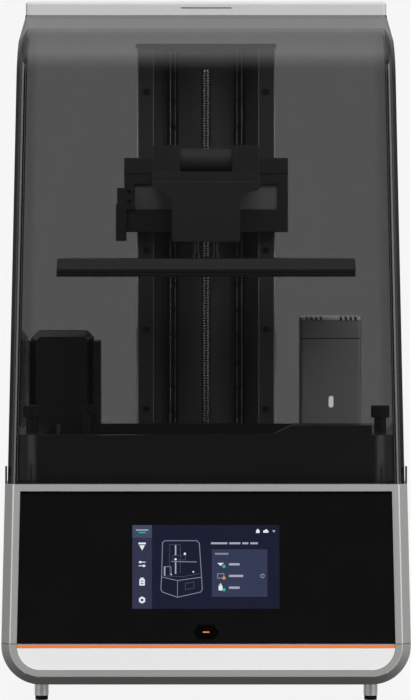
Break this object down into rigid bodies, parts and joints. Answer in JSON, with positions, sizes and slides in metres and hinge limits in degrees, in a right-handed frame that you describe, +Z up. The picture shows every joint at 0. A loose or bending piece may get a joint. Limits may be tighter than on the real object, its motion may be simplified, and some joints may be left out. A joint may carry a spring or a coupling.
{
  "type": "resin printer",
  "caption": "Desktop resin printer: smoked lift-off hood over a screw-driven build platform, resin vat, bottle dock and air purifier, on a base with a touch screen.",
  "frame": {"origin": "on the table, under the middle of the base", "axes": "+Z up, the front with the touch screen faces -Y, +X to the right seen from the front"},
  "size_m": [0.301, 0.3, 0.525],
  "materials": {
    "grey_paint": "fine satin paint",
    "pale_plastic": "satin",
    "cap_plastic": "satin",
    "orange_plastic": "gloss",
    "panel_glass": "gloss",
    "screen_glass": "gloss",
    "black_plastic": "satin",
    "dark_plastic": "satin",
    "black_anodised": "black anodised",
    "raw_aluminium": "brushed",
    "bright_steel": "ground",
    "nut_brass": "turned",
    "foot_rubber": "matte",
    "smoked_acrylic": "polished",
    "mask_glass": "polished",
    "film_clear": "clear film",
    "lens_clear": "clear",
    "board_green": "solder mask",
    "carbon": "granular",
    "lamp_white": "lit diffuser",
    "lamp_orange": "lit diffuser"
  },
  "bodies": {
    "machine": {"base_tray": "grey_paint", "base_shell": "grey_paint", "rear_panel": "grey_paint", "deck_plate": "black_anodised", "front_panel": "panel_glass", "touch_screen": "screen_glass", "accent_strip": "orange_plastic", "lower_fascia": "pale_plastic", "foot_posts": "bright_steel", "foot_pads": "foot_rubber", "mask_screen": "mask_glass", "screen_bezel": "black_plastic", "lamp_housing": "raw_aluminium", "uv_lamp": "board_green", "lamp_lens": "lens_clear", "heat_sink": "raw_aluminium", "main_board": "board_green", "power_supply": "raw_aluminium", "z_motor": "black_anodised", "power_inlet": "black_plastic", "exhaust_fan": "black_plastic", "vat_frame": "black_anodised", "film_clamp": "raw_aluminium", "release_film": "film_clear", "z_tower": "black_anodised", "tower_cap": "black_anodised", "tower_screws": "black_anodised", "left_rail": "bright_steel", "right_rail": "bright_steel", "bottle_dock": "black_plastic", "feed_spout": "black_plastic", "purifier_case": "dark_plastic", "purifier_lid": "dark_plastic", "purifier_light": "lamp_white", "purifier_filter": "carbon"},
    "head": {"rail_blocks": "bright_steel", "z_carriage": "black_anodised", "screw_nut": "nut_brass", "plate_arm": "black_anodised", "arm_frame": "black_anodised", "home_flag": "black_anodised", "platform_neck": "black_anodised", "level_posts": "bright_steel", "build_plate": "black_anodised", "build_surface": "black_anodised"},
    "screw": {"lead_screw": "bright_steel"},
    "latch": {"plate_latch": "black_anodised"},
    "left_knob": {"left_vat_knob": "black_plastic"},
    "right_knob": {"right_vat_knob": "black_plastic"},
    "button": {"power_button": "panel_glass", "button_light": "lamp_orange"},
    "rocker": {"switch_rocker": "black_plastic"},
    "exhaust_wheel": {"exhaust_rotor": "black_plastic"},
    "purifier_wheel": {"purifier_rotor": "black_plastic"},
    "bottle": {"resin_bottle": "black_plastic"},
    "hood": {"hood_front": "smoked_acrylic", "hood_left": "smoked_acrylic", "hood_right": "smoked_acrylic", "hood_rear": "smoked_acrylic", "hood_cap": "cap_plastic"}
  },
  "joints": [
    {"name": "hood_lift", "type": "slide", "parent": "machine", "child": "hood", "axis": [0, 0, 1], "range_m": [0, 0.36]},
    {"name": "z_travel", "type": "slide", "parent": "machine", "child": "head", "axis": [0, 0, 1], "range_m": [-0.1521, 0.08]},
    {"name": "screw_spin", "type": "hinge", "parent": "machine", "child": "screw", "pos_m": [0, 0.093, 0.1465], "axis": [0, 0, 1], "continuous": true},
    {"name": "latch_turn", "type": "hinge", "parent": "head", "child": "latch", "pos_m": [0, 0.005, 0.403], "axis": [1, 0, 0], "range_deg": [0, 75]},
    {"name": "left_knob_turn", "type": "hinge", "parent": "machine", "child": "left_knob", "pos_m": [-0.132, -0.06, 0.2], "axis": [0, 0, 1], "continuous": true},
    {"name": "right_knob_turn", "type": "hinge", "parent": "machine", "child": "right_knob", "pos_m": [0.132, -0.06, 0.2], "axis": [0, 0, 1], "continuous": true},
    {"name": "button_press", "type": "slide", "parent": "machine", "child": "button", "axis": [0, 0.9986, -0.0523], "range_m": [0, 0.001], "stiffness_N_per_m": 800, "springref_m": -0.0005},
    {"name": "switch_rock", "type": "hinge", "parent": "machine", "child": "rocker", "pos_m": [-0.095, 0.143, 0.1032], "axis": [1, 0, 0], "range_deg": [0, 16]},
    {"name": "exhaust_spin", "type": "hinge", "parent": "machine", "child": "exhaust_wheel", "pos_m": [0.07, 0.13, 0.096], "axis": [0, 1, 0], "continuous": true},
    {"name": "purifier_spin", "type": "hinge", "parent": "machine", "child": "purifier_wheel", "pos_m": [0.09915, 0.092, 0.245], "axis": [0, 0, 1], "continuous": true},
    {"name": "bottle_lift", "type": "slide", "parent": "machine", "child": "bottle", "axis": [0, 0, 1], "range_m": [0, 0.1]}
  ],
  "couplings": [
    {"joint": "screw_spin", "follows": "z_travel", "rad_per_m": -1570.8}
  ]
}
